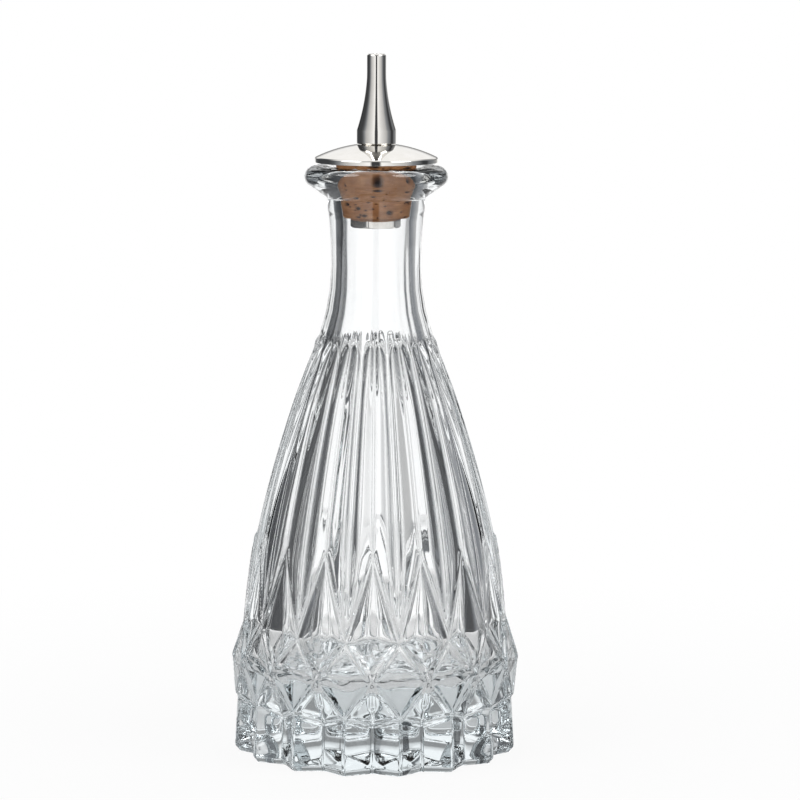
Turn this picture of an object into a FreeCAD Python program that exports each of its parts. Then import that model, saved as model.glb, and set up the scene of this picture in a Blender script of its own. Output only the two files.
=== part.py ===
"""Bitters bottle: fluted and diamond-cut pressed glass, closed by a cork that carries a metal dasher spout."""
import FreeCAD, Part
import math
import os

from FreeCAD import Vector

# Glass pattern: kites, diamonds and teeth repeat round the axis, two flutes above each kite
pattern_count = 16

# Glass heights, each one measured up from the level named before it
foot_chamfer = 1.5
tooth_height = 15.25
notch_drop = 2.15
spur_rise = 2.95
belt_rise = 9.95
diamond_rise = 9.8
kite_centre_rise = 1.0
kite_rise = 22.4
body_rise = 23.2
shoulder_rise = 21.0
flute_end_rise = 8.9
neck_root_rise = 14.5
waist_rise = 17.0
collar_rise = 11.3
collar_height = 3.7
lip_under_rise = 3.2
lip_widest_rise = 5.8
lip_height = 9.0

# Glass radii
tooth_radius = 37.5
tooth_flare = 0.8
notch_depth = 4.0
spur_hollow = 1.75
belt_radius = 38.05
diamond_top_radius = 35.3
kite_hollow = 2.0
kite_floor_width = 3.2
kite_top_radius = 31.9
body_radius = 26.1
shoulder_radius = 19.1
neck_root_radius = 13.8
collar_swell = 1.0
collar_step = 0.25
lip_under_radius = 17.4
lip_radius = 19.05
lip_crest_radius = 16.0

# Glass walls and hollows
neck_wall = 3.1
neck_root_wall = 3.9
body_wall = 4.6
floor_thickness = 22.0
floor_corner = 10.0
floor_crown = 1.2
flute_share = 0.24
flute_valley = 0.73
flute_arch = 3.2
mouth_round = 1.2
punt_radius = 27.0
punt_depth = 2.2

# Cork, from its underside up to the disc
cork_length = 14.2
cork_bottom_radius = 8.75
cork_top_radius = 10.85
cork_stand = 0.5
cork_edge = 0.5

# Metal top
stem_radius = 4.0
stem_bore_radius = 2.0
nut_width = 12.0
nut_thickness = 2.7
nut_chamfer = 0.8
nut_angle = 12.0
disc_radius = 16.4
disc_edge = 1.45
disc_edge_round = 0.35
dome_rise = 3.3
spout_base_radius = 5.25
spout_base_height = 3.7
spout_height = 23.8
spout_neck_drop = 6.0
spout_waist_radius = 3.3
spout_waist_drop = 12.4
spout_tip_radius = 2.55
spout_tip_round = 0.5
spout_edge = 0.25
spout_outlet_radius = 1.2
socket_depth = 5.0

# Fits
cork_fit = 0.05
thread_fit = 0.05
seat_gap = 0.05
stem_end_gap = 0.3

# Levels above the table
notch_z = tooth_height - notch_drop
spur_z = tooth_height + spur_rise
belt_z = tooth_height + belt_rise
diamond_z = belt_z + diamond_rise
kite_centre_z = diamond_z + kite_centre_rise
kite_top_z = diamond_z + kite_rise
body_z = kite_top_z + body_rise
shoulder_z = body_z + shoulder_rise
flute_end_z = shoulder_z + flute_end_rise
neck_root_z = shoulder_z + neck_root_rise
waist_z = neck_root_z + waist_rise
collar_z = waist_z + collar_rise
lip_start_z = collar_z + collar_height
lip_z = lip_start_z + lip_height
disc_z = lip_z + cork_stand
cork_z = disc_z - cork_length
nut_z = cork_z - seat_gap - nut_thickness
dome_z = disc_z + disc_edge + dome_rise
spout_z = dome_z + seat_gap

# Radii that follow from the fits
bore_radius = cork_bottom_radius + cork_fit
neck_radius = bore_radius + neck_wall
collar_radius = neck_radius + collar_swell

step = 360 / pattern_count
half = step / 2
corner_share = math.cos(math.radians(half))


def polar(radius, angle, height):
    """A point at a radius and an angle, in degrees, round the bottle's axis."""
    turn = math.radians(angle)
    return Vector(radius * math.cos(turn), radius * math.sin(turn), height)


def beside(radius, angle, aside, height):
    """A point at a distance beside the meridian at an angle."""
    return polar(radius, angle, height) + polar(aside, angle + 90, 0)


def section(radius, height):
    """A point of an outline that is turned round the axis."""
    return Vector(radius, 0, height)


def line(start, end):
    return Part.LineSegment(start, end).toShape()


def arc(start, middle, end):
    return Part.Arc(start, middle, end).toShape()


def chain(*points):
    """Straight edges through the points in turn."""
    return [line(a, b) for a, b in zip(points, points[1:])]


def smooth(points, spacing):
    """A smooth curve through the points, which it reaches at the given parameters."""
    curve = Part.BSplineCurve()
    curve.interpolate(Points=points, Parameters=spacing)
    return curve


def turned(edges):
    """The faces that the edges sweep in a full turn."""
    return Part.Wire(edges).revolve(Vector(), Vector(0, 0, 1), 360).Faces


def turned_solid(edges):
    """The solid inside a closed outline, turned round the axis."""
    return Part.Face(Part.Wire(edges)).revolve(Vector(), Vector(0, 0, 1), 360)


def flat(*points):
    return Part.Face(Part.makePolygon([*points, points[0]]))


def dome_arc(start, end):
    """The arc from start to end whose centre is on the axis."""
    rise = 2 * (end.z - start.z)
    centre = (end.x ** 2 - start.x ** 2 + end.z ** 2 - start.z ** 2) / rise
    radius = math.hypot(start.x, start.z - centre)
    middle_x = (start.x + end.x) / 2
    lift = math.copysign(math.sqrt(radius ** 2 - middle_x ** 2), start.z - centre)
    return arc(start, section(middle_x, centre + lift), end)


# Outside of the glass: one smooth outline carries the ridges of the flutes and goes on up the neck.
# The hollow follows it at the wall's thickness, with the same spacing of points, up to the waist.
outer_points = [
    section(diamond_top_radius, diamond_z),
    section(kite_top_radius, kite_top_z),
    section(body_radius, body_z),
    section(shoulder_radius, shoulder_z),
    section(neck_root_radius, neck_root_z),
    section(neck_radius, waist_z),
    section(collar_radius - collar_step, collar_z),
]
walls = [body_wall, body_wall, body_wall, body_wall, neck_root_wall, neck_wall]
inner_points = [point - section(wall, 0) for point, wall in zip(outer_points, walls)]
runs = [end.distanceToPoint(start) for start, end in zip(outer_points, outer_points[1:])]
spacing = [sum(runs[:index]) for index in range(len(outer_points))]
outline = smooth(outer_points, spacing)
hollow_outline = smooth(inner_points, spacing[:len(inner_points)])


def outline_at(height):
    """The outline's parameter where it passes a height."""
    low = outline.FirstParameter
    high = outline.LastParameter
    for _ in range(50):
        middle = (low + high) / 2
        if outline.value(middle).z < height:
            low = middle
        else:
            high = middle
    return middle


flute_start = outline_at(flute_end_z)
kite_end = outline_at(kite_top_z)
diamond_end = outline.FirstParameter
flute_rows = 13
flute_columns = 6


def ridge(end, share, angle):
    """A point on a ridge, part of the way from the flutes' upper ends to the ridge's own lower end."""
    point = outline.value(flute_start + (end - flute_start) * share)
    return polar(point.x, angle, point.z)


def net(rows):
    """A smooth surface through rows of points, evenly spaced both ways in its parameters."""
    along_row = [smooth(points, range(len(points))) for points in rows]
    columns = zip(*[curve.getPoles() for curve in along_row])
    along_column = [smooth(list(points), range(len(points))) for points in columns]
    poles = zip(*[curve.getPoles() for curve in along_column])
    down = along_column[0]
    over = along_row[0]
    surface = Part.BSplineSurface()
    surface.buildFromPolesMultsKnots(
        [list(points) for points in poles],
        down.getMultiplicities(),
        over.getMultiplicities(),
        down.getKnots(),
        over.getKnots(),
        False,
        False,
        down.Degree,
        over.Degree,
    )
    return surface.toShape()


def flute_panel(kite_angle, diamond_angle, start, end):
    """One slope of a flute, between two shares of the way from a kite's ridge to a diamond's ridge."""
    rows = []
    for row in range(flute_rows + 1):
        share = (row / flute_rows) ** 2
        left = ridge(kite_end, share, kite_angle)
        right = ridge(diamond_end, share, diamond_angle)
        rounding = (1 - share) ** 4
        points = []
        for column in range(flute_columns + 1):
            across = start + (end - start) * column / flute_columns
            on_chord = left + (right - left) * across
            on_round = ridge(kite_end + (diamond_end - kite_end) * across, share, 0)
            deepest = flute_share * math.radians(half) * on_round.x
            angle = kite_angle + (diamond_angle - kite_angle) * across
            on_round = polar(on_round.x, angle, on_round.z)
            crown = math.sin(math.pi * across)
            below = flute_end_z - on_round.z - flute_arch * (1 - crown)
            entry = min(max(below / flute_arch, 0), 1)
            slope = min(across / flute_valley, (1 - across) / (1 - flute_valley))
            depth = deepest * slope * entry * (1 - share ** 4)
            surface = on_chord + (on_round - on_chord) * rounding
            inward = Vector(surface.x, surface.y, 0).normalize() * depth
            points.append(surface - inward)
        rows.append(points)
    return net(rows)


def flat_radius(low_radius, low_z, high_radius, high_z, height):
    """Radius of the straight line between two points of an outline, at a height."""
    return low_radius + (high_radius - low_radius) * (height - low_z) / (high_z - low_z)


def tooth_notch_foot(tooth, notch, tooth_foot):
    """Radius of a notch at the foot that keeps both faces of a tooth flat."""
    normal = (tooth - notch).cross(tooth_foot - notch)
    return notch.x + normal.z * (notch.z - tooth_foot.z) / normal.x


kite_radius = diamond_top_radius * corner_share - kite_hollow
spur_flat = flat_radius(tooth_radius * corner_share, tooth_height, belt_radius, belt_z, spur_z)
spur_radius = spur_flat - spur_hollow
notch_radius = tooth_radius - notch_depth
foot_radius = tooth_radius + tooth_flare
notch_foot_radius = tooth_notch_foot(
    polar(tooth_radius, half, tooth_height),
    polar(notch_radius, 0, notch_z),
    polar(foot_radius, half, foot_chamfer),
)
sole_share = 1 - foot_chamfer / foot_radius


def pattern_faces(angle):
    """One repeat of the pattern: a kite, its flutes, half a diamond each side, and the foot below."""
    kite_top = polar(kite_top_radius, angle, kite_top_z)
    belt = polar(belt_radius, angle, belt_z)
    spur = polar(spur_radius, angle, spur_z)
    notch = polar(notch_radius, angle, notch_z)
    notch_foot = polar(notch_foot_radius, angle, foot_chamfer)
    notch_sole = polar(notch_foot_radius * sole_share, angle, 0)
    next_belt = polar(belt_radius, angle + step, belt_z)
    faces = []
    kite_floor = []
    for side in (-1, 1):
        corner = angle + side * half
        kite_corner = beside(kite_radius, angle, side * kite_floor_width / 2, kite_centre_z)
        kite_floor.append(kite_corner)
        diamond_top = polar(diamond_top_radius, corner, diamond_z)
        tooth = polar(tooth_radius, corner, tooth_height)
        tooth_foot = polar(foot_radius, corner, foot_chamfer)
        tooth_sole = polar(foot_radius * sole_share, corner, 0)
        valley_end = kite_top + (diamond_top - kite_top) * flute_valley
        faces += [
            flute_panel(angle, corner, 0, flute_valley),
            flute_panel(angle, corner, flute_valley, 1),
            flat(kite_top, valley_end, diamond_top, kite_corner),
            flat(kite_corner, diamond_top, belt),
            flat(belt, tooth, spur),
            flat(spur, tooth, notch),
            flat(notch, tooth, tooth_foot, notch_foot),
            flat(notch_foot, tooth_foot, tooth_sole, notch_sole),
        ]
    next_diamond = polar(diamond_top_radius, angle + half, diamond_z)
    next_tooth = polar(tooth_radius, angle + half, tooth_height)
    faces += [
        flat(kite_top, *kite_floor),
        flat(belt, *kite_floor),
        flat(next_diamond, belt, next_belt),
        flat(next_tooth, belt, next_belt),
    ]
    return faces


def neck_and_lip():
    """The turned outside from the ends of the flutes up to the crest of the lip, closed across the top."""
    neck = outline.copy()
    neck.segment(flute_start, outline.LastParameter)
    collar_low = section(collar_radius - collar_step, collar_z)
    collar_start = section(collar_radius, collar_z + collar_step)
    collar_end = section(collar_radius, lip_start_z)
    under = section(lip_under_radius, lip_start_z + lip_under_rise)
    widest = section(lip_radius, lip_start_z + lip_widest_rise)
    crest = section(lip_crest_radius, lip_z)
    return turned([
        neck.toShape(),
        *chain(collar_low, collar_start, collar_end, under),
        arc(under, widest, crest),
        line(crest, section(0, lip_z)),
    ])


def sole():
    corners = []
    for index in range(pattern_count):
        corners.append(polar(notch_foot_radius * sole_share, index * step, 0))
        corners.append(polar(foot_radius * sole_share, index * step + half, 0))
    return flat(*corners)


def seat_radius(height):
    """Radius of the cork's taper at a height."""
    return flat_radius(cork_bottom_radius, cork_z, cork_top_radius, disc_z, height)


def bottle_hollow():
    """The hollow of the bottle, from its floor up through the cork's seat to the open mouth."""
    wall_start = inner_points[0]
    floor_wall = wall_start.x
    bore_start = inner_points[-1]
    corner_start = section(floor_wall, floor_thickness + floor_corner)
    corner_slant = floor_corner * (1 - math.sqrt(0.5))
    corner_middle = section(floor_wall - corner_slant, floor_thickness + corner_slant)
    corner_end = section(floor_wall - floor_corner, floor_thickness)
    floor_centre = section(0, floor_thickness + floor_crown)
    mouth_z = lip_z - mouth_round
    mouth = section(seat_radius(mouth_z) + cork_fit, mouth_z)
    mouth_top = section(mouth.x + mouth_round, lip_z)
    return turned_solid([
        *chain(floor_centre, corner_end),
        arc(corner_end, corner_middle, corner_start),
        line(corner_start, wall_start),
        hollow_outline.toShape(),
        *chain(bore_start, section(bore_radius, cork_z), mouth, mouth_top),
        *chain(mouth_top, section(0, lip_z), floor_centre),
    ])


def punt():
    """The shallow hollow under the base."""
    rim = section(punt_radius, 0)
    crown = section(0, punt_depth)
    return turned_solid([dome_arc(rim, crown), *chain(crown, section(0, 0), rim)])


def glass_bottle():
    faces = [*neck_and_lip(), sole()]
    for index in range(pattern_count):
        faces += pattern_faces(index * step)
    shell = Part.makeShell(faces)
    shell.sewShape(0.01)
    return Part.makeSolid(shell).cut(bottle_hollow()).cut(punt())


def cork_stopper():
    """A tapered cork with broken edges and a hole for the stem."""
    hole = stem_radius + thread_fit
    low_z = cork_z + cork_edge
    return turned_solid(chain(
        section(hole, cork_z),
        section(cork_bottom_radius - cork_edge, cork_z),
        section(seat_radius(low_z), low_z),
        section(cork_top_radius, disc_z),
        section(hole, disc_z),
        section(hole, cork_z),
    ))


def domed_disc():
    """A shallow polished dome with a plain edge, and a flat seat for the spout in the middle."""
    hole = stem_radius + thread_fit
    top = disc_z + disc_edge
    rim_top = section(disc_radius - disc_edge_round, top)
    rim_side = section(disc_radius, top - disc_edge_round)
    slant = disc_edge_round * (1 - math.sqrt(0.5))
    seat = section(spout_base_radius, dome_z)
    return turned_solid([
        *chain(seat, section(hole, dome_z), section(hole, disc_z), section(disc_radius, disc_z), rim_side),
        arc(rim_side, section(disc_radius - slant, top - slant), rim_top),
        dome_arc(rim_top, seat),
    ])


def stem_tube():
    """The hollow stem, from the underside of the nut up into the spout's socket."""
    top = spout_z + socket_depth - stem_end_gap
    return turned_solid(chain(
        section(stem_bore_radius, nut_z),
        section(stem_radius, nut_z),
        section(stem_radius, top),
        section(stem_bore_radius, top),
        section(stem_bore_radius, nut_z),
    ))


def hex_nut():
    """A thin six-sided nut whose lower corners are turned off."""
    corner = nut_width / 2 / math.cos(math.radians(30))
    corners = [polar(corner, nut_angle + 60 * index, nut_z) for index in range(6)]
    prism = flat(*corners).extrude(Vector(0, 0, nut_thickness))
    top = nut_z + nut_thickness
    turning = turned_solid(chain(
        section(stem_radius + thread_fit, nut_z),
        section(corner - nut_chamfer, nut_z),
        section(corner, nut_z + nut_chamfer / 2),
        section(corner, top),
        section(stem_radius + thread_fit, top),
        section(stem_radius + thread_fit, nut_z),
    ))
    return prism.common(turning)


def spout():
    """The dasher spout: a short base, a hollow flare and a narrow tip, bored through."""
    socket = stem_radius + thread_fit
    socket_end = spout_z + socket_depth
    base_top = spout_z + spout_base_height
    tip_z = spout_z + spout_height
    tip_start = tip_z - spout_neck_drop
    base = section(spout_base_radius, base_top)
    waist = section(spout_waist_radius, tip_z - spout_waist_drop)
    tip = section(spout_tip_radius, tip_start)
    round_start = section(spout_tip_radius, tip_z - spout_tip_round)
    round_end = section(spout_tip_radius - spout_tip_round, tip_z)
    slant = spout_tip_round * (1 - math.sqrt(0.5))
    return turned_solid([
        *chain(
            section(spout_outlet_radius, tip_z),
            section(stem_bore_radius, socket_end),
            section(socket, socket_end),
            section(socket, spout_z),
            section(spout_base_radius - spout_edge, spout_z),
            section(spout_base_radius, spout_z + spout_edge),
            base,
        ),
        arc(base, waist, tip),
        line(tip, round_start),
        arc(round_start, section(spout_tip_radius - slant, tip_z - slant), round_end),
        line(round_end, section(spout_outlet_radius, tip_z)),
    ])


os.makedirs("parts", exist_ok=True)
for build in (glass_bottle, cork_stopper, domed_disc, stem_tube, hex_nut, spout):
    shape = build()
    shape.exportStep(f"parts/{build.__name__}.step")
    print(build.__name__, shape.ShapeType, len(shape.Solids), "solid, valid", shape.isValid(),
          f"{shape.Volume / 1000:.2f} ml")
print(f"capacity to the cork {bottle_hollow().Volume / 1000:.0f} ml with the mouth")
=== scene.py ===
"""Looks of a pressed glass bitters bottle with a cork stopper and a polished dasher spout."""
import math

import bpy
import numpy as np
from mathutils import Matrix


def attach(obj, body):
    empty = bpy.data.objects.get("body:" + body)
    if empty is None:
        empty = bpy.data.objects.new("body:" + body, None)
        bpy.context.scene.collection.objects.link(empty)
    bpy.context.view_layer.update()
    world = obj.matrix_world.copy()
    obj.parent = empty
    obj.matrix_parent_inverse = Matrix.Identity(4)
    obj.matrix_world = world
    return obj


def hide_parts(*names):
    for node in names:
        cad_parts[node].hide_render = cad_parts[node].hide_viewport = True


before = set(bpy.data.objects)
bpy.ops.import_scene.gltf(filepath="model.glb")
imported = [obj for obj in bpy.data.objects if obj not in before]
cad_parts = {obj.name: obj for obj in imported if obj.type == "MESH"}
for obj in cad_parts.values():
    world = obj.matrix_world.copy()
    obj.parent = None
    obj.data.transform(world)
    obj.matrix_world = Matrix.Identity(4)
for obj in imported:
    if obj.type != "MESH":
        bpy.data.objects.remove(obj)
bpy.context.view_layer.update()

# Sizes are in millimetres and angles in degrees. Meshes are turned into metres when they are made.
METRE = 1000.0

# Glass pattern: repeats round the axis, each one mirrored about the middle of a kite
repeats = 16
columns_per_half = 20
half_turn = math.pi / repeats
column_count = 2 * repeats * columns_per_half

# Corners of the pattern as (radius, height): on a kite's meridian
foot_chamfer = 1.5
notch_sole = (32.75, 0.0)
notch_foot = (34.07, foot_chamfer)
notch = (33.5, 13.1)
spur = (35.4, 18.2)
belt = (38.05, 25.2)
kite_top = (31.9, 57.4)

# and on a diamond's meridian
tooth_sole = (36.8, 0.0)
tooth_foot = (38.3, foot_chamfer)
tooth = (37.5, 15.25)
belt_middle = (belt[0] * math.cos(half_turn), belt[1])
diamond_top = (35.3, 35.0)

# Straight edges of the pattern from the sole up, from a kite's meridian to a diamond's
pattern_edges = [
    (notch_sole, tooth_sole),
    (notch_foot, tooth_foot),
    (notch, tooth),
    (spur, tooth),
    (belt, tooth),
    (belt, belt_middle),
    (belt, diamond_top),
]

# Soft cords along the edges of the pattern
cord_edges = [
    (kite_top, diamond_top),
    (belt, diamond_top),
    (belt, tooth),
]
cord_height = 0.55
cord_width = 0.55

# Fine groove where the teeth of the foot begin
groove_depth = 0.55
groove_width = 0.55

# Hollow of a kite, with a flat bottom that is widest at its centre
kite_depth = 2.1
kite_middle = 36.0
kite_rim = 0.5
lance_width = 1.6
lance_foot = 33.5

# Outlines of the glass as heights and radii: the ridges and the neck outside, the hollow inside
outer_heights = [35.0, 57.4, 80.6, 101.6, 116.1, 133.1, 144.4]
outer_radii = [35.3, 31.9, 26.1, 19.1, 13.8, 11.9, 12.65]
inner_heights = [27.0, 35.0, 57.4, 80.6, 101.6, 116.1, 133.1]
inner_radii = [32.3, 30.7, 27.3, 21.5, 14.5, 9.9, 8.8]

# Flutes, two above each kite
flute_end = 110.5
flute_slant = 0.28
flute_valley = 0.73
flute_scoop = 14.0
flute_arch = 3.0
flute_apex = 0.36
flute_cup = 0.9
flute_entry = 0.9
arch_rim = 0.3
arch_width = 0.45
kite_ridge = 0.28
diamond_ridge = 0.55

# Softness of the pressed edges
edge_softness = 0.32
lip_softness = 0.35

# Collar, lip and mouth
collar_radius = 12.9
collar_height = 144.65
lip_start = 148.1
lip_under = (17.4, 151.3)
lip_widest = (19.05, 153.9)
lip_crest = (16.0, 156.5)
lip_waves = 0.45
lip_wave_lengths = (1.6, 6.0)
mouth_top = (11.85, 156.5)
mouth = (10.56, 155.3)
cork_seat = (8.8, 143.4)

# Floor of the hollow, upright draw lines on its wall, and the shallow hollow under the base
floor_height = 22.0
floor_corner = 5.0
floor_crown = 23.2
floor_waves = 2.6
floor_wave_lengths = (7.0, 20.0)
wave_count = 12
draw_depth = 0.09
draw_count = 9
draw_spacing = (9, 41)
punt_radius = 27.0
punt_depth = 2.2
sole_rise = 0.08
sole_edge = 0.3

# Fineness of the glass: rings of the foot, steps between the rings above it, and limits along the outline
foot_rings = 5
tooth_rings = 4
groove_step = 0.55
spur_step = 1.1
belt_step = 0.5
kite_step = 0.85
flute_step = 4.0
arch_step = 0.4
outline_bend = 8.5
floor_run = 1.6
lip_run = 0.6
wall_run = 6.0

# Cork: its taper, the hole for the stem, and the pits and grain of its side
cork_foot = (8.75, 143.4)
cork_head = (10.85, 157.6)
cork_edge = 0.5
cork_columns = 320
cork_step = 0.2
stem_hole = 4.05
pit_count = 170
pit_depth = 0.45
pit_least = 0.16
pit_spread = 0.5
pit_stretch = (1.0, 2.6)
grain_count = 14
grain_depth = 0.05
grain_bow = (0.1, 0.5)
grain_lengths = (0.7, 2.6)

# Polished disc under the spout
disc_radius = 16.4
disc_foot = 157.6
disc_edge_top = 159.05
disc_edge_round = 0.35
dome_seat = (5.25, 162.35)
disc_columns = 192

# Spout
spout_foot = 162.4
spout_base = (5.25, 166.1)
spout_waist = (3.3, 173.8)
spout_tip = (2.55, 180.2)
spout_top = 186.2
spout_tip_round = 0.5
spout_outlet = 1.2
spout_edge = 0.3
socket_end = 167.4
spout_columns = 128

# Softness and fineness of the outlines of disc and spout
metal_softness = 0.12
metal_step = 0.03
metal_bend = 5.0
metal_run = 1.5

# Stem and nut
stem_radius = 4.0
stem_bore = 2.0
stem_top = 167.1
stem_chamfer = 0.3
stem_tip = 0.2
stem_pitch = 1.0
stem_thread = 0.25
stem_step = 0.125
stem_columns = 96
nut_foot = 140.65
nut_top = 143.35
nut_half_width = 6.0
nut_corner = 6.93
nut_turn = 12.0
nut_chamfer = 0.8
nut_softness = 2.0
nut_edge = 0.15
nut_columns = 288

# Colours and finishes
glass_index = 1.51
glass_clear = (1.0, 1.0, 1.0)
glass_haze = (0.985, 0.99, 0.992)
glass_tint = (0.66, 0.76, 0.80)
glass_density = 9.0
steel_dull = (0.80, 0.78, 0.74)
steel_bright = (0.86, 0.84, 0.81)
steel_edge = (0.9, 0.9, 0.9)
cork_dark = (0.52, 0.215, 0.078)
cork_light = (0.74, 0.37, 0.165)
cork_streak = (0.36, 0.14, 0.052)
cork_pit = (0.035, 0.018, 0.014)
noise_low = 0.3
noise_high = 0.7

# Studio walls: greys by degrees round the bottle, from behind it, with its right positive
studio_walls = [
    (-180, 0.06), (-173, 0.06), (-169, 1.15), (-148, 0.85), (-120, 0.55), (-107, 0.28), (-96, 0.12),
    (-82, 0.06), (-48, 0.06), (-40, 0.09), (-28, 0.18), (-22, 1.12),
    (22, 1.12), (26, 0.50), (50, 0.24), (64, 0.15), (70, 0.05), (82, 0.05), (92, 0.16),
    (107, 0.28), (120, 0.55), (148, 0.85), (169, 1.15), (173, 0.06), (180, 0.06),
]
tinted_below = 0.5
wall_tint = (0.93, 0.98, 1.05)

# Grey card across the backdrop: shares of the wall's light by degrees of rise, and how far towards the
# back a direction points where the card begins and where it is whole
card_light = [(-90, 1.0), (3, 1.0), (5, 0.28), (10.5, 0.28), (12.5, 0.6), (18, 1.0), (90, 1.0)]
card_start = 0.6
card_whole = 0.8

# Ceiling: the rise where it begins and is whole, and its light in front and behind
ceiling_start = 35.0
ceiling_end = 60.0
ceiling_front = 0.12
ceiling_white = 1.1
front_end = -0.35
back_start = 0.15

# Round soft boxes, as degrees round from behind and degrees of rise
soft_boxes = [(-112, 54), (112, 54)]
box_size = 13.0
box_edge = 4.0
box_light = 6.0

# Floor: its reach, its paper, its white for the camera and for sight through the glass, and painted light
# that only sight through the glass finds on it: a painted pool of light under the bottle in place of the
# light the glass lets through, and more painted light behind it and far off
floor_reach = 250.0
floor_paper = 0.4
floor_white = 0.93
painted_light_under_bottle = 0.55
painted_light_behind_bottle = 0.24
painted_light_far_off = 0.6

# Lamps as name, place in metres and watts, aimed at a point above the origin
lamps = [("key", (-0.5, -0.6, 0.9), 4.0), ("fill", (0.7, -0.4, 0.6), 2.0)]
lamp_size = 0.6
lamp_aim = 0.08

# Camera, found from the outline of the bottle in the photograph
camera_distance = 960.0
camera_height = 225.6
camera_pitch = 7.8
camera_turn = 1.1
camera_yaw = 0.359
camera_roll = -0.2
camera_lens = 163.4


def natural_spline(heights, radii):
    """The smooth curve of radius over height through the given points."""
    x = np.array(heights)
    y = np.array(radii)
    step = np.diff(x)
    slope = np.diff(y) / step
    count = len(x)
    system = np.eye(count)
    right = np.zeros(count)
    for i in range(1, count - 1):
        system[i, i - 1:i + 2] = step[i - 1], 2 * (step[i - 1] + step[i]), step[i]
        right[i] = 6 * (slope[i] - slope[i - 1])
    bend = np.linalg.solve(system, right)

    def radius(height):
        height = np.asarray(height, float)
        i = np.clip(np.searchsorted(x, height) - 1, 0, count - 2)
        low = height - x[i]
        high = x[i + 1] - height
        cubic = (bend[i] * high ** 3 + bend[i + 1] * low ** 3) / (6 * step[i])
        start = (y[i] / step[i] - bend[i] * step[i] / 6) * high
        end = (y[i + 1] / step[i] - bend[i + 1] * step[i] / 6) * low
        return cubic + start + end

    return radius


outer_radius = natural_spline(outer_heights, outer_radii)
inner_radius = natural_spline(inner_heights, inner_radii)


def blurred(field, spread, axis, mode):
    """The field averaged over a bell curve along one axis."""
    reach = max(1, int(math.ceil(3 * spread)))
    weights = np.exp(-0.5 * (np.arange(-reach, reach + 1) / spread) ** 2)
    weights /= weights.sum()
    pad = [(0, 0)] * field.ndim
    pad[axis] = (reach, reach)
    wide = np.pad(field, pad, mode=mode)
    result = np.zeros_like(field)
    for shift, weight in enumerate(weights):
        result += weight * np.take(wide, np.arange(shift, shift + field.shape[axis]), axis)
    return result


def crossing(kite_end, diamond_end, turn):
    """Radius and height of a straight edge between the two meridians, at a turn from the kite's."""
    near = kite_end[0] * math.sin(turn)
    far = diamond_end[0] * math.sin(half_turn - turn)
    share = near / (near + far)
    kite_part = (1 - share) * kite_end[0] * math.cos(turn)
    diamond_part = share * diamond_end[0] * math.cos(half_turn - turn)
    return kite_part + diamond_part, kite_end[1] + share * (diamond_end[1] - kite_end[1])


def kite_edge_turns(heights, turns):
    """The turn at which the edge of the kite passes each height, above and below its widest level."""
    upper = [crossing(kite_top, diamond_top, turn)[1] for turn in turns]
    lower = [crossing(belt, diamond_top, turn)[1] for turn in turns]
    above = np.interp(-heights, -np.array(upper), turns)
    return np.where(heights > diamond_top[1], above, np.interp(heights, lower, turns))


def kite_hollow(turns, height, edge_turn, edge_radius):
    """Radius across the hollow of a kite at one height, between its two edges."""
    rim = edge_radius * math.cos(edge_turn)
    across = rim * np.tan(turns)
    half = rim * math.tan(edge_turn) - kite_rim
    share = np.interp(height, [belt[1], kite_middle, kite_top[1]], [0, 1, 0])
    lance = np.interp(height, [lance_foot, kite_middle, kite_top[1]], [0, lance_width, 0])
    slope = np.clip((half - across) / max(half - lance, 0.3), 0, 1)
    scoop = 1 - np.clip(across / max(half, 0.3), 0, 1) ** 2
    scooped = np.interp(height, [lance_foot - 2, kite_middle], [1, 0])
    return (rim - kite_depth * share * (slope + (scoop - slope) * scooped)) / np.cos(turns)


def fluted(turn, heights, edge_turns):
    """The round outline with a flute hollowed out of it, at one turn from the kite's meridian."""
    radius = outer_radius(heights)
    start = edge_turns * radius + kite_ridge
    width = half_turn * radius - diamond_ridge - start
    across = np.clip((turn * radius - start) / np.maximum(width, 0.1), 0, 1)
    depth = flute_slant * np.maximum(width, 0)
    slanted = np.minimum(across / flute_valley, (1 - across) / (1 - flute_valley))
    scooped = 4 * across * (1 - across)
    below = np.clip((flute_end - heights) / flute_scoop, 0, 1)
    profile = scooped * (1 + flute_cup) + (slanted - scooped * (1 + flute_cup)) * below
    aside = (across - flute_apex) / (1 - flute_apex)
    below_arch = flute_end - flute_arch * aside ** 2 - heights
    entry = np.clip(below_arch / flute_entry, 0, 1)
    steepness = 2 * flute_arch * aside / ((1 - flute_apex) * np.maximum(width, 0.1))
    away = (below_arch + arch_width) / np.sqrt(1 + steepness ** 2)
    rim = arch_rim * np.exp(-(away / arch_width) ** 2) * (width > 0.5)
    return radius + rim - depth * profile * (1 - (1 - entry) ** 2)


def edge_distance(start, end, across, heights):
    """Distance of points on the unrolled glass from a straight edge."""
    run = np.subtract(end, start)
    share = ((across - start[0]) * run[0] + (heights - start[1]) * run[1]) / (run @ run)
    share = np.clip(share, 0, 1)
    return np.hypot(across - start[0] - share * run[0], heights - start[1] - share * run[1])


def cords(turn, heights):
    """Height of the soft cords that follow the edges of the pattern."""
    across = turn * diamond_top[0]
    width = half_turn * diamond_top[0]
    lines = [((0, kite_end[1]), (width, diamond_end[1])) for kite_end, diamond_end in cord_edges]
    lines.append(((0, spur[1]), (0, belt[1])))
    nearest = np.min([edge_distance(start, end, across, heights) for start, end in lines], axis=0)
    groove = edge_distance((0, notch[1]), (width, tooth[1]), across, heights)
    raised = cord_height * np.exp(-(nearest / cord_width) ** 2)
    return raised - groove_depth * np.exp(-(groove / groove_width) ** 2)


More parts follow.
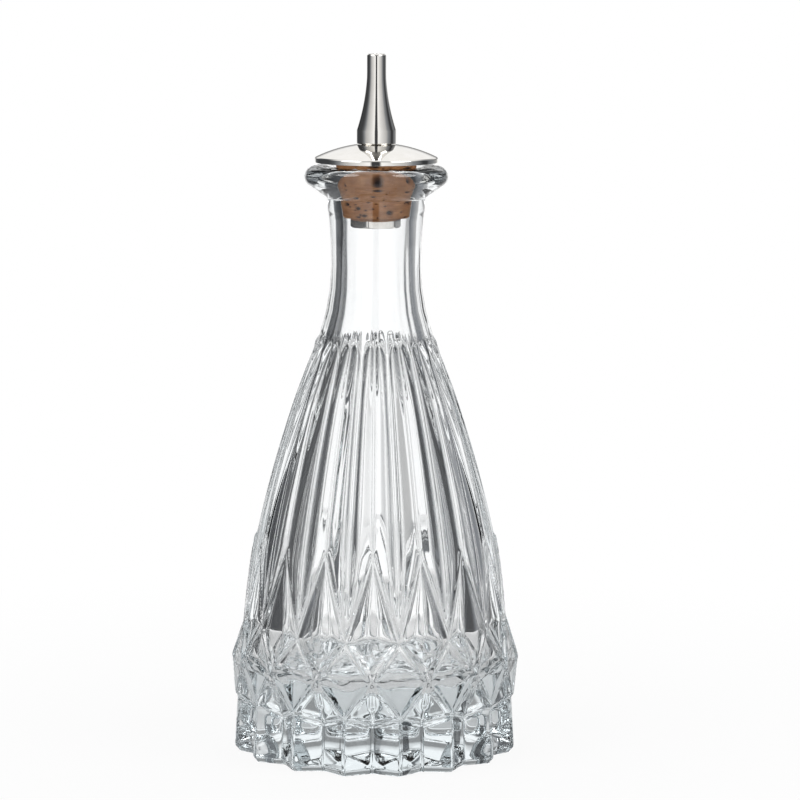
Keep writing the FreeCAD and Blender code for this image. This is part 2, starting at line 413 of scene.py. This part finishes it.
def pattern_field(turns, heights):
    """Radius of the sharp pressed pattern over heights and turns."""
    field = np.empty((len(heights), len(turns)))
    edge_turns = kite_edge_turns(heights, turns)
    for column, turn in enumerate(turns):
        crossings = [crossing(kite_end, diamond_end, turn) for kite_end, diamond_end in pattern_edges]
        radii, levels = zip(*crossings)
        edge_level = crossing(kite_top, diamond_top, turn)[1]
        edge_radius = float(outer_radius(edge_level))
        faceted = np.interp(heights, [*levels, edge_level], [*radii, edge_radius])
        field[:, column] = np.where(heights < edge_level, faceted, fluted(turn, heights, edge_turns))
    for row, height in enumerate(heights):
        if belt[1] < height < kite_top[1]:
            inside = turns < edge_turns[row]
            edge_radius = np.interp(edge_turns[row], turns, field[row])
            field[row, inside] = kite_hollow(turns[inside], height, edge_turns[row], edge_radius)
    return field


def pattern_rows():
    """Heights and radii of the rings of the pressed pattern, with its edges softened."""
    finer = 4
    height_step = 0.15
    turns = np.linspace(0, half_turn, columns_per_half * finer + 1)
    heights = np.arange(0, flute_end + 3, height_step)
    field = pattern_field(turns, heights)
    turn_step = turns[1] * belt[0]
    field = blurred(field, edge_softness / turn_step, 1, "reflect")
    field = blurred(field, edge_softness / height_step, 0, "edge")
    field += np.stack([cords(turn, heights) for turn in turns], 1)
    rows = np.concatenate([
        np.linspace(0, foot_chamfer, foot_rings),
        np.linspace(foot_chamfer + 0.5, notch[1] - 1, tooth_rings),
        np.arange(notch[1] - 0.5, spur[1] + 1.5, groove_step),
        np.arange(spur[1] + 2, belt[1] - 1, spur_step),
        np.arange(belt[1] - 0.8, kite_middle + 1.5, belt_step),
        np.arange(kite_middle + 2, kite_top[1] + 2, kite_step),
        np.arange(kite_top[1] + 3, flute_end - 6, flute_step),
        np.arange(flute_end - 5, flute_end + 1.5, arch_step),
    ])
    column = np.arange(column_count) % (2 * columns_per_half)
    column = np.minimum(column, 2 * columns_per_half - column) * finer
    sampled = np.stack([np.interp(rows, heights, radii) for radii in field.T], 1)
    return [(radii[column], height) for radii, height in zip(sampled, rows)]


def arc_points(start, middle, end, count):
    """Points along the circle through three points."""
    (x1, y1), (x2, y2), (x3, y3) = start, middle, end
    double = 2 * (x1 * (y2 - y3) + x2 * (y3 - y1) + x3 * (y1 - y2))
    s1, s2, s3 = x1 * x1 + y1 * y1, x2 * x2 + y2 * y2, x3 * x3 + y3 * y3
    cx = (s1 * (y2 - y3) + s2 * (y3 - y1) + s3 * (y1 - y2)) / double
    cy = (s1 * (x3 - x2) + s2 * (x1 - x3) + s3 * (x2 - x1)) / double
    angles = np.unwrap([math.atan2(y - cy, x - cx) for x, y in (start, middle, end)])
    sweep = np.linspace(angles[0], angles[2], count)
    size = math.hypot(x1 - cx, y1 - cy)
    return [(cx + size * math.cos(a), cy + size * math.sin(a)) for a in sweep]


def softened(points, softness, step=0.1):
    """An outline resampled at even steps with its corners rounded."""
    points = np.array(points, float)
    runs = np.hypot(*np.diff(points, axis=0).T)
    along = np.concatenate([[0], np.cumsum(runs)])
    even = np.linspace(0, along[-1], int(along[-1] / step) + 2)
    fine = np.stack([np.interp(even, along, points[:, 0]), np.interp(even, along, points[:, 1])], 1)
    soft = blurred(fine, softness / step, 0, "edge")
    soft[0] = points[0]
    soft[-1] = points[-1]
    return soft


def thinned(points, bend, longest):
    """The points that a smooth outline needs: one for each few degrees of bend or millimetres of run."""
    kept = [points[0]]
    heading = points[1] - points[0]
    limits = np.broadcast_to(longest, len(points))
    for before, here, after, limit in zip(points, points[1:], points[2:], limits[1:]):
        direction = after - before
        turned = abs(math.degrees(math.atan2(heading[0] * direction[1] - heading[1] * direction[0],
                                             heading @ direction)))
        if turned >= bend or np.hypot(*(here - kept[-1])) >= limit:
            kept.append(here)
            heading = direction
    kept.append(points[-1])
    return kept


def uneven(x, y, lengths):
    """Gentle waves in the glass with lengths between two limits, no higher than one in all."""
    random = np.random.default_rng(5)
    waves = np.zeros_like(x)
    for _ in range(wave_count):
        heading = random.uniform(0, 2 * math.pi)
        along = x * math.cos(heading) + y * math.sin(heading)
        length = random.uniform(*lengths)
        waves += np.sin(2 * math.pi * along / length + random.uniform(0, 2 * math.pi))
    return waves / wave_count


def draw_lines(turns):
    """Faint upright waves that the plunger leaves on the wall of the hollow, in millimetres."""
    random = np.random.default_rng(8)
    waves = np.zeros_like(turns)
    for _ in range(draw_count):
        waves += np.sin(random.integers(*draw_spacing) * turns + random.uniform(0, 2 * math.pi))
    return draw_depth * waves / draw_count


def joined(low, high):
    """Faces between two rings of vertex numbers, of which one may have half as many or only one."""
    faces = []
    longest = max(len(low), len(high))
    for k in range(longest):
        corners = []
        for ring, here, there in ((low, k, k + 1), (high, k + 1, k)):
            for place in (here, there):
                number = ring[place * len(ring) // longest % len(ring)]
                if number not in corners:
                    corners.append(number)
        faces.append(corners)
    return faces


def turned_mesh(name, rows, count):
    """A closed mesh from rings round the axis. A row of radii is a ring of as many points, one radius is a
    ring of the given count, and no radius is a single point."""
    vertices = []
    rings = []
    for radius, height in rows:
        size = np.size(radius) if np.size(radius) > 1 else count
        if np.max(radius) < 1e-6:
            size = 1
        angles = np.arange(size) * 2 * math.pi / size
        levels = np.broadcast_to(height, (size,))
        ring = np.stack([radius * np.cos(angles), radius * np.sin(angles), levels], 1)
        rings.append(range(len(vertices), len(vertices) + size))
        vertices += ring.tolist()
    faces = []
    for low, high in zip(rings, rings[1:]):
        faces += joined(low, high)
    if len(rings[0]) > 1:
        faces += joined(rings[-1], rings[0])
    mesh = bpy.data.meshes.new(name)
    mesh.from_pydata((np.array(vertices) / METRE).tolist(), [], faces)
    mesh.shade_smooth()
    piece = bpy.data.objects.new(name, mesh)
    bpy.context.scene.collection.objects.link(piece)
    return piece


def glass_profile():
    """The turned part of the glass: up the neck, over the lip and down the hollow to the floor's middle."""
    neck = np.arange(flute_end + 2, outer_heights[-1], 0.3)
    hollow = np.arange(inner_heights[-1], inner_heights[0], -0.3)
    floor_radius = inner_radii[0]
    slant = floor_corner * (1 - math.sqrt(0.5))
    corner = arc_points(
        (floor_radius, floor_height + floor_corner),
        (floor_radius - slant, floor_height + slant),
        (floor_radius - floor_corner, floor_height),
        20,
    )
    points = [
        *zip(outer_radius(neck), neck),
        (collar_radius, collar_height),
        (collar_radius, lip_start),
        *arc_points(lip_under, lip_widest, lip_crest, 40),
        mouth_top,
        mouth,
        cork_seat,
        *zip(inner_radius(hollow), hollow),
        *corner,
        (0.0, floor_crown),
    ]
    outline = softened(points, lip_softness)
    heights = outline[:, 1]
    zones = [heights < floor_height + floor_corner, heights > lip_widest[1]]
    return thinned(outline, outline_bend, np.select(zones, [floor_run, lip_run], wall_run))


def glass_piece():
    """The bottle from the middle of its underside, up the pattern and down the hollow to the floor."""
    sole = [(0.0, punt_depth)]
    for share in (0.15, 0.3, 0.45, 0.6, 0.75, 0.9, 0.97):
        sole.append((punt_radius * share, punt_depth * (1 - share ** 2)))
    sole.append((punt_radius + sole_edge, sole_rise))
    rows = [*sole, *pattern_rows()]
    plain_count = column_count // 2
    turns = np.arange(plain_count) * 2 * math.pi / plain_count
    for radius, height in glass_profile():
        x = radius * np.cos(turns)
        y = radius * np.sin(turns)
        if height > lip_widest[1]:
            share = np.interp(radius, [mouth[0], lip_crest[0] - 2, lip_widest[0]], [0, 1, 0])
            height = height + lip_waves * share * uneven(x, y, lip_wave_lengths)
        elif height > floor_height + floor_corner:
            if height < inner_heights[-1] and radius < inner_radius(height) + 1:
                radius = radius + draw_lines(turns)
        elif radius > 0:
            share = np.interp(radius, [inner_radii[0] - floor_corner, inner_radii[0]], [1, 0])
            height = height + floor_waves * share * uneven(x, y, floor_wave_lengths)
        rows.append((radius, height))
    return turned_mesh("pressed_glass", rows, plain_count)


def cork_pits(turns, heights):
    """How deep each place on the side of the cork lies in a pit, from none to all of the way."""
    random = np.random.default_rng(11)
    pits = np.zeros((len(heights), len(turns)))
    for _ in range(pit_count):
        centre = random.uniform(0, 2 * math.pi)
        level = random.uniform(cork_foot[1], cork_head[1])
        size = pit_least + pit_spread * random.random() ** 4
        width = size * random.uniform(*pit_stretch)
        away = (turns - centre + math.pi) % (2 * math.pi) - math.pi
        across = (away * cork_foot[0] / width) ** 2
        along = ((heights - level) / size) ** 2
        reach = across[None, :] + along[:, None]
        pits = np.maximum(pits, np.exp(-reach ** 2))
    return pits


def cork_grain(turns, heights):
    """Fine growth lines that run round the cork, unevenly."""
    random = np.random.default_rng(12)
    grain = np.zeros((len(heights), len(turns)))
    for _ in range(grain_count):
        waves = random.integers(1, 9)
        bow = random.uniform(*grain_bow) * np.sin(waves * turns + random.uniform(0, 6))
        length = random.uniform(*grain_lengths)
        lines = np.sin(2 * math.pi * (heights[:, None] + bow[None, :]) / length + random.uniform(0, 6))
        patch = np.sin(random.integers(1, 5) * turns + random.uniform(0, 6))
        grain += lines * np.clip(patch, 0, 1)[None, :]
    return grain / grain_count


def cork_piece():
    """The cork with its pits and growth lines sunk into its side."""
    turns = np.arange(cork_columns) * 2 * math.pi / cork_columns
    heights = np.arange(cork_foot[1] + cork_edge, cork_head[1], cork_step)
    pits = cork_pits(turns, heights)
    sunk = pit_depth * pits + grain_depth * (1 + cork_grain(turns, heights))
    taper = np.interp(heights, [cork_foot[1], cork_head[1]], [cork_foot[0], cork_head[0]])
    under = [(radius, cork_foot[1]) for radius in np.linspace(stem_hole, cork_foot[0] - cork_edge, 5)]
    over = [(radius, cork_head[1]) for radius in np.linspace(cork_head[0] - 0.1, stem_hole, 6)]
    side = [(radius - dent, height) for radius, dent, height in zip(taper, sunk, heights)]
    piece = turned_mesh("natural_cork", [*under, *side, *over], cork_columns)
    plain_under = np.zeros(len(under) * cork_columns)
    plain_over = np.zeros(len(over) * cork_columns)
    dark = np.concatenate([plain_under, pits.ravel(), plain_over])
    piece.data.attributes.new("pit", "FLOAT", "POINT").data.foreach_set("value", dark)
    return piece


def turned_metal(name, points, count):
    """A turned mesh from an outline whose corners are lightly rounded."""
    outline = softened(points, metal_softness, metal_step)
    return turned_mesh(name, thinned(outline, metal_bend, metal_run), count)


def disc_piece():
    """The shallow dome with a plain edge that is lightly rounded above and below."""
    slope = disc_edge_top - dome_seat[1]
    rim = disc_radius - disc_edge_round
    centre = (dome_seat[0] ** 2 - rim ** 2 + dome_seat[1] ** 2 - disc_edge_top ** 2) / (-2 * slope)
    size = math.hypot(rim, disc_edge_top - centre)
    dome = np.linspace(rim, dome_seat[0], 30)
    points = [
        (stem_hole, disc_foot),
        (disc_radius, disc_foot),
        (disc_radius, disc_edge_top - disc_edge_round),
        *zip(dome, centre + np.sqrt(size ** 2 - dome ** 2)),
        (stem_hole, dome_seat[1]),
    ]
    return turned_metal("polished_disc", points, disc_columns)


def spout_piece():
    """The dasher spout: a straight base, a hollow flare and a narrow tip, bored through."""
    points = [
        (stem_hole, socket_end),
        (stem_hole, spout_foot),
        (spout_base[0] - spout_edge, spout_foot),
        (spout_base[0], spout_foot + spout_edge),
        *arc_points(spout_base, spout_waist, spout_tip, 40),
        (spout_tip[0], spout_top - spout_tip_round),
        (spout_tip[0] - spout_tip_round, spout_top),
        (spout_outlet, spout_top),
        (stem_bore, socket_end),
    ]
    return turned_metal("dasher_spout", points, spout_columns)


def stem_piece():
    """The hollow stem with the fine rings of its thread where the nut and the spout sit."""
    heights = np.arange(nut_foot + stem_chamfer, stem_top - stem_tip, stem_step)
    ring = 0.5 - 0.5 * np.cos(2 * math.pi * heights / stem_pitch)
    plain = (heights > cork_foot[1]) & (heights < dome_seat[1])
    outside = stem_radius - stem_thread * np.where(plain, 0, ring)
    points = [
        (stem_bore, nut_foot),
        (stem_radius - stem_chamfer, nut_foot),
        *zip(outside, heights),
        (stem_radius - stem_chamfer, stem_top),
        (stem_bore, stem_top),
    ]
    return turned_mesh("threaded_stem", points, stem_columns)


def nut_piece():
    """The thin six-sided nut, with soft corners that are turned off below."""
    turns = np.arange(nut_columns) * 2 * math.pi / nut_columns - math.radians(nut_turn)
    aside = turns % (math.pi / 3) - math.pi / 6
    hexagon = blurred(nut_half_width / np.cos(aside), nut_softness, 0, "wrap")
    rows = [(stem_hole, nut_foot)]
    for share in np.linspace(0, 1, 9):
        bound = nut_corner - nut_chamfer * (1 - share) ** 2
        rows.append((np.minimum(hexagon, bound), nut_foot + share * nut_chamfer))
    rows.append((hexagon, nut_top - nut_edge))
    rows.append((hexagon - nut_edge, nut_top))
    rows.append((stem_hole, nut_top))
    return turned_mesh("thin_nut", rows, nut_columns)


def new_material(name):
    """A material with its node tree and its shader."""
    material = bpy.data.materials.new(name)
    material.use_nodes = True
    tree = material.node_tree
    return material, tree, tree.nodes["Principled BSDF"]


def ranged(tree, value, start, end, low=0.0, high=1.0, smooth=False):
    """A number that goes from low to high while another one goes from start to end."""
    node = tree.nodes.new("ShaderNodeMapRange")
    if smooth:
        node.interpolation_type = "SMOOTHSTEP"
    for name, limit in (("From Min", start), ("From Max", end), ("To Min", low), ("To Max", high)):
        node.inputs[name].default_value = limit
    tree.links.new(value, node.inputs["Value"])
    return node.outputs["Result"]


def computed(tree, operation, *values):
    """The result of an operation on numbers in the tree."""
    node = tree.nodes.new("ShaderNodeMath")
    node.operation = operation
    for value, place in zip(values, node.inputs):
        tree.links.new(value, place)
    return node.outputs["Value"]


def mixed(tree, factor, first, second, blend="MIX"):
    """A colour between two others, each of them a colour or a socket."""
    node = tree.nodes.new("ShaderNodeMix")
    node.data_type = "RGBA"
    node.blend_type = blend
    tree.links.new(factor, node.inputs["Factor"])
    for name, colour in (("A", first), ("B", second)):
        if isinstance(colour, tuple):
            node.inputs[name].default_value = (*colour, 1)
        else:
            tree.links.new(colour, node.inputs[name])
    return node.outputs["Result"]


def graded(tree, value, stops):
    """A colour from stops, each of them a place between none and one with its colour."""
    node = tree.nodes.new("ShaderNodeValToRGB")
    elements = node.color_ramp.elements
    while len(elements) < len(stops):
        elements.new(0.5)
    for element, (place, colour) in zip(elements, stops):
        element.position = place
        element.color = (*colour, 1)
    tree.links.new(value, node.inputs["Fac"])
    return node.outputs["Color"]


def speckle(tree, grain, stretch, low, high):
    """A noise with a grain in millimetres, stretched along the axis, as a number between two limits."""
    coords = tree.nodes.new("ShaderNodeTexCoord")
    place = tree.nodes.new("ShaderNodeMapping")
    place.inputs["Scale"].default_value = (1, 1, 1 / stretch)
    tree.links.new(coords.outputs["Object"], place.inputs["Vector"])
    noise = tree.nodes.new("ShaderNodeTexNoise")
    noise.inputs["Scale"].default_value = METRE / grain
    noise.inputs["Detail"].default_value = 4.0
    tree.links.new(place.outputs["Vector"], noise.inputs["Vector"])
    return ranged(tree, noise.outputs["Fac"], noise_low, noise_high, low, high)


def clear_glass():
    """Clear glass with a faint cool tint in its thickness and slight unevenness from the mould."""
    material, tree, shader = new_material("clear_glass")
    shader.inputs["IOR"].default_value = glass_index
    shader.inputs["Transmission Weight"].default_value = 1.0
    colour = mixed(tree, speckle(tree, 9.0, 1.0, 0.0, 1.0), glass_clear, glass_haze)
    tree.links.new(colour, shader.inputs["Base Color"])
    tree.links.new(speckle(tree, 5.0, 1.0, 0.0, 0.012), shader.inputs["Roughness"])
    tint = tree.nodes.new("ShaderNodeVolumeAbsorption")
    tint.inputs["Color"].default_value = (*glass_tint, 1)
    tint.inputs["Density"].default_value = glass_density
    tree.links.new(tint.outputs[0], tree.nodes["Material Output"].inputs["Volume"])
    return material


def steel(name, polish, lines):
    """Warm bright steel with faint cloudiness, and fine lathe lines where it is only turned."""
    material, tree, shader = new_material(name)
    shader.inputs["Metallic"].default_value = 1.0
    shader.inputs["Specular Tint"].default_value = (*steel_edge, 1)
    colour = mixed(tree, speckle(tree, 3.0, 1.0, 0.0, 1.0), steel_dull, steel_bright)
    tree.links.new(colour, shader.inputs["Base Color"])
    tree.links.new(speckle(tree, 8.0, lines, polish, polish * 2.5), shader.inputs["Roughness"])
    return material


def cork():
    """Cork in three browns, cloudy and streaked round the axis, nearly black in the pits."""
    material, tree, shader = new_material("cork")
    brown = mixed(tree, speckle(tree, 2.4, 0.8, 0.0, 1.0), cork_dark, cork_light)
    brown = mixed(tree, speckle(tree, 3.0, 0.12, 0.0, 0.65), brown, cork_streak)
    pit = tree.nodes.new("ShaderNodeAttribute")
    pit.attribute_name = "pit"
    colour = mixed(tree, pit.outputs["Fac"], brown, cork_pit)
    tree.links.new(colour, shader.inputs["Base Color"])
    tree.links.new(speckle(tree, 0.6, 1.0, 0.75, 0.95), shader.inputs["Roughness"])
    return material


def soft_box(tree, sight, side, height):
    """Light of a round soft box beside the camera, seen along the line of sight."""
    turn = math.radians(side)
    rise = math.radians(height)
    towards = tree.nodes.new("ShaderNodeVectorMath")
    towards.operation = "DOT_PRODUCT"
    tree.links.new(sight, towards.inputs[0])
    towards.inputs[1].default_value = (
        math.sin(turn) * math.cos(rise),
        math.cos(turn) * math.cos(rise),
        math.sin(rise),
    )
    outside = math.cos(math.radians(box_size + box_edge))
    inside = math.cos(math.radians(box_size))
    return ranged(tree, towards.outputs["Value"], outside, inside, 0.0, box_light, smooth=True)


def studio():
    """A white backdrop behind and above, soft boxes by the camera and dimmer sides, for glass and steel."""
    world = bpy.data.worlds.new("studio")
    bpy.context.scene.world = world
    world.use_nodes = True
    tree = world.node_tree
    sight = tree.nodes.new("ShaderNodeTexCoord").outputs["Generated"]
    split = tree.nodes.new("ShaderNodeSeparateXYZ")
    tree.links.new(sight, split.inputs[0])
    back = split.outputs["Y"]
    up = split.outputs["Z"]
    wall_stops = []
    for side, grey in studio_walls:
        tint = wall_tint if grey < tinted_below else (1, 1, 1)
        wall_stops.append(((side + 180) / 360, [grey * part for part in tint]))
    turn = computed(tree, "ARCTAN2", split.outputs["X"], back)
    walls = graded(tree, ranged(tree, turn, -math.pi, math.pi), wall_stops)
    card_stops = [((math.sin(math.radians(rise)) + 1) / 2, [light] * 3) for rise, light in card_light]
    card = graded(tree, ranged(tree, up, -1.0, 1.0), card_stops)
    walls = mixed(tree, ranged(tree, back, card_start, card_whole), walls, card, "MULTIPLY")
    lowest = math.sin(math.radians(ceiling_start))
    whole = math.sin(math.radians(ceiling_end))
    ceiling = ranged(tree, back, front_end, back_start, ceiling_front, ceiling_white, smooth=True)
    lit = mixed(tree, ranged(tree, up, lowest, whole, smooth=True), walls, ceiling)
    for side, rise in soft_boxes:
        add = tree.nodes.new("ShaderNodeVectorMath")
        tree.links.new(lit, add.inputs[0])
        tree.links.new(soft_box(tree, sight, side, rise), add.inputs[1])
        lit = add.outputs["Vector"]
    rays = tree.nodes.new("ShaderNodeLightPath")
    seen = mixed(tree, rays.outputs["Is Camera Ray"], lit, (1, 1, 1))
    tree.links.new(seen, tree.nodes["Background"].inputs["Color"])


def floor():
    """A pale floor that the camera sees as white, with a soft shadow under the bottle, and painted light
    for sight through the glass.
    """
    bpy.ops.mesh.primitive_circle_add(vertices=96, radius=floor_reach / METRE, fill_type="NGON")
    piece = bpy.context.object
    piece.name = "floor"
    material, tree, shader = new_material("pale_floor")
    tree.nodes.remove(shader)
    paper = tree.nodes.new("ShaderNodeBsdfDiffuse")
    paper.inputs["Color"].default_value = (floor_paper, floor_paper, floor_paper, 1)
    white = tree.nodes.new("ShaderNodeEmission")
    white.inputs["Strength"].default_value = 1.0
    place = tree.nodes.new("ShaderNodeTexCoord").outputs["Object"]
    reach = tree.nodes.new("ShaderNodeVectorMath")
    reach.operation = "LENGTH"
    tree.links.new(place, reach.inputs[0])
    away = reach.outputs["Value"]
    split = tree.nodes.new("ShaderNodeSeparateXYZ")
    tree.links.new(place, split.inputs[0])
    foot = tooth[0] / METRE
    edge = floor_reach / METRE
    # Painted light seen only through the glass: a pool of light under the bottle in place of the light that
    # the glass lets through, and painted light that grows behind the bottle and towards the floor's edge
    under = ranged(tree, away, foot, 1.3 * foot, painted_light_under_bottle, 0.0)
    far = ranged(tree, away, 0.4 * edge, 0.8 * edge, 0.0, painted_light_far_off)
    painted_behind = ranged(tree, split.outputs["Y"], 0.0, 2 * foot, 0.0, painted_light_behind_bottle)
    painted_through_glass = computed(tree, "ADD", computed(tree, "ADD", under, far), painted_behind)
    rays = tree.nodes.new("ShaderNodeLightPath")
    glass_ray = rays.outputs["Is Transmission Ray"]
    direct = computed(tree, "MULTIPLY_ADD", glass_ray, painted_through_glass, rays.outputs["Is Camera Ray"])
    fade = ranged(tree, away, belt[0] / METRE, edge, floor_white, 1.0)
    mix = tree.nodes.new("ShaderNodeMixShader")
    tree.links.new(computed(tree, "MULTIPLY", fade, direct), mix.inputs["Fac"])
    tree.links.new(paper.outputs[0], mix.inputs[1])
    tree.links.new(white.outputs[0], mix.inputs[2])
    tree.links.new(mix.outputs[0], tree.nodes["Material Output"].inputs["Surface"])
    piece.data.materials.append(material)


def lamp(name, place, power):
    """A soft square lamp that neither the steel nor the glass shows."""
    data = bpy.data.lights.new(name, "AREA")
    data.size = lamp_size
    data.energy = power
    piece = bpy.data.objects.new(name, data)
    bpy.context.scene.collection.objects.link(piece)
    piece.location = place
    direction = -piece.location
    direction.z += lamp_aim
    piece.rotation_euler = direction.to_track_quat("-Z", "Y").to_euler()
    piece.visible_glossy = False
    piece.visible_transmission = False


def camera():
    """The camera of the photograph, in front of the bottle and a little above it."""
    data = bpy.data.cameras.new("camera")
    data.lens = camera_lens
    data.sensor_width = 36.0
    piece = bpy.data.objects.new("camera", data)
    bpy.context.scene.collection.objects.link(piece)
    turn = math.radians(camera_turn)
    distance = camera_distance / METRE
    piece.location = (distance * math.sin(turn), -distance * math.cos(turn), camera_height / METRE)
    piece.rotation_euler = (
        math.radians(90 - camera_pitch),
        math.radians(camera_roll),
        math.radians(camera_turn - camera_yaw),
    )
    bpy.context.scene.camera = piece


polished = steel("polished_steel", 0.03, 1.0)
turned_steel = steel("turned_steel", 0.06, 0.03)
for piece, material, slot, body, node in (
    (glass_piece(), clear_glass(), "clear_glass", "bottle", "glass_bottle"),
    (cork_piece(), cork(), "cork", "stopper", "cork_stopper"),
    (disc_piece(), polished, "polished_steel", "stopper", "domed_disc"),
    (stem_piece(), turned_steel, "turned_steel", "stopper", "stem_tube"),
    (spout_piece(), polished, "polished_steel", "spout", "spout"),
    (nut_piece(), turned_steel, "turned_steel", "nut", "hex_nut"),
):
    piece.data.materials.append(material)
    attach(piece, body)
    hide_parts(node)

studio()
floor()
for name, place, power in lamps:
    lamp(name, place, power)
camera()

scene = bpy.context.scene
scene.view_settings.view_transform = "Standard"
scene.cycles.max_bounces = 32
scene.cycles.transmission_bounces = 32
